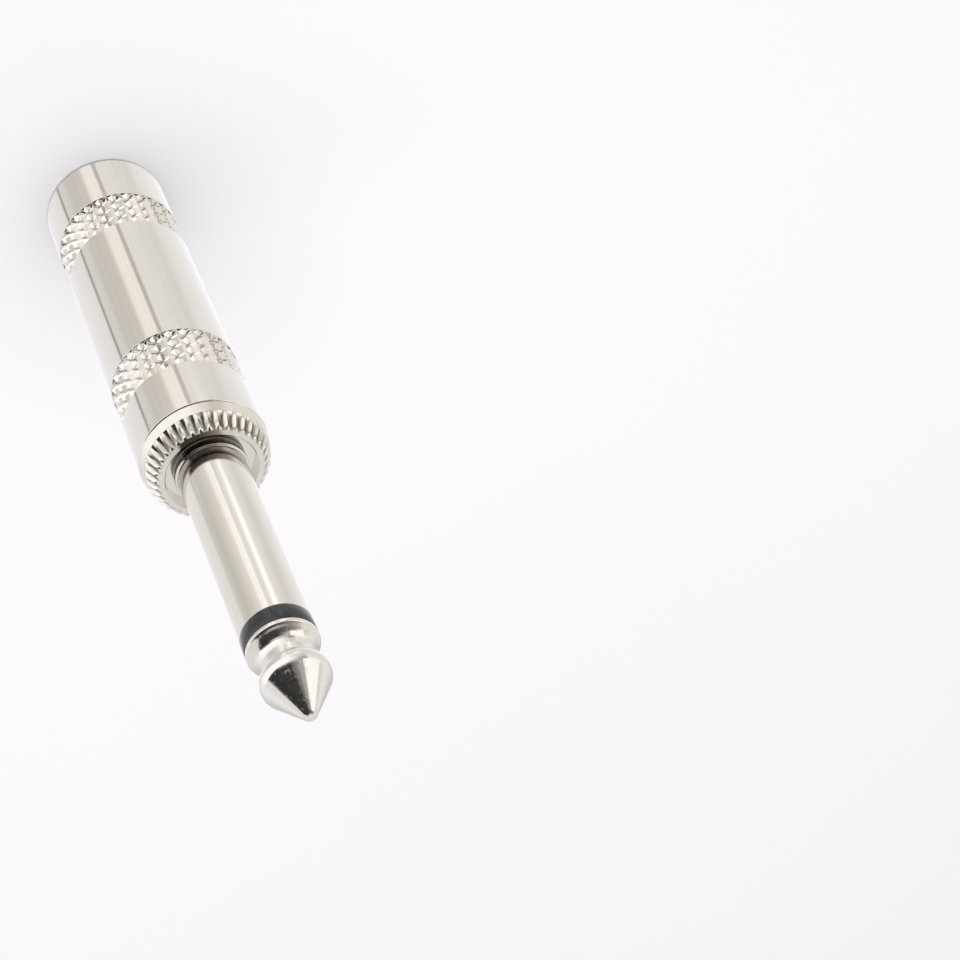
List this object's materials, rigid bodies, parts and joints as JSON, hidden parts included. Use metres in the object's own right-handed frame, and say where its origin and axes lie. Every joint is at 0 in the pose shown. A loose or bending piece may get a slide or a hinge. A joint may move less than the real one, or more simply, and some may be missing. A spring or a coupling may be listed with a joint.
{
  "type": "mono jack plug",
  "caption": "Straight 6.35 mm two-contact audio jack plug with a knurled screw-on metal shell, insulating tube, cable clamp and solder lugs.",
  "frame": {"origin": "centre of the shell's rear face, on which the plug stands", "axes": "+Z along the plug's axis, from the cable end towards the tip; -Y is the side of the cable clamp's back"},
  "size_m": [0.012, 0.012, 0.0752],
  "materials": {
    "shell_plating": "satin nickel plate over brass",
    "rim_plating": "bright nickel plate over brass",
    "contact_plating": "polished nickel plate over brass",
    "lug_plating": "tinned brass sheet",
    "ring_plastic": "glossy black moulding",
    "inner_plastic": "black moulding",
    "liner": "pale milky plastic tube"
  },
  "bodies": {
    "shell": {"shell": "shell_plating"},
    "liner": {"insulating_tube": "liner"},
    "contacts": {"front_body": "rim_plating", "sleeve_contact": "contact_plating", "tip_insulator": "ring_plastic", "stem_insulator": "inner_plastic", "tip_contact": "contact_plating", "ground_lug": "lug_plating", "lug_insulator": "inner_plastic", "tip_lug": "lug_plating"}
  },
  "joints": [
    {"name": "unscrew_turn", "type": "hinge", "parent": "shell", "child": "liner", "pos_m": [0, 0, 0.038], "axis": [0, 0, 1], "range_deg": [0, 2880]},
    {"name": "unscrew_lift", "type": "slide", "parent": "liner", "child": "contacts", "axis": [0, 0, 1], "range_m": [0, 0.006]}
  ],
  "couplings": [
    {"joint": "unscrew_lift", "follows": "unscrew_turn", "m_per_rad": 0.00011936}
  ]
}
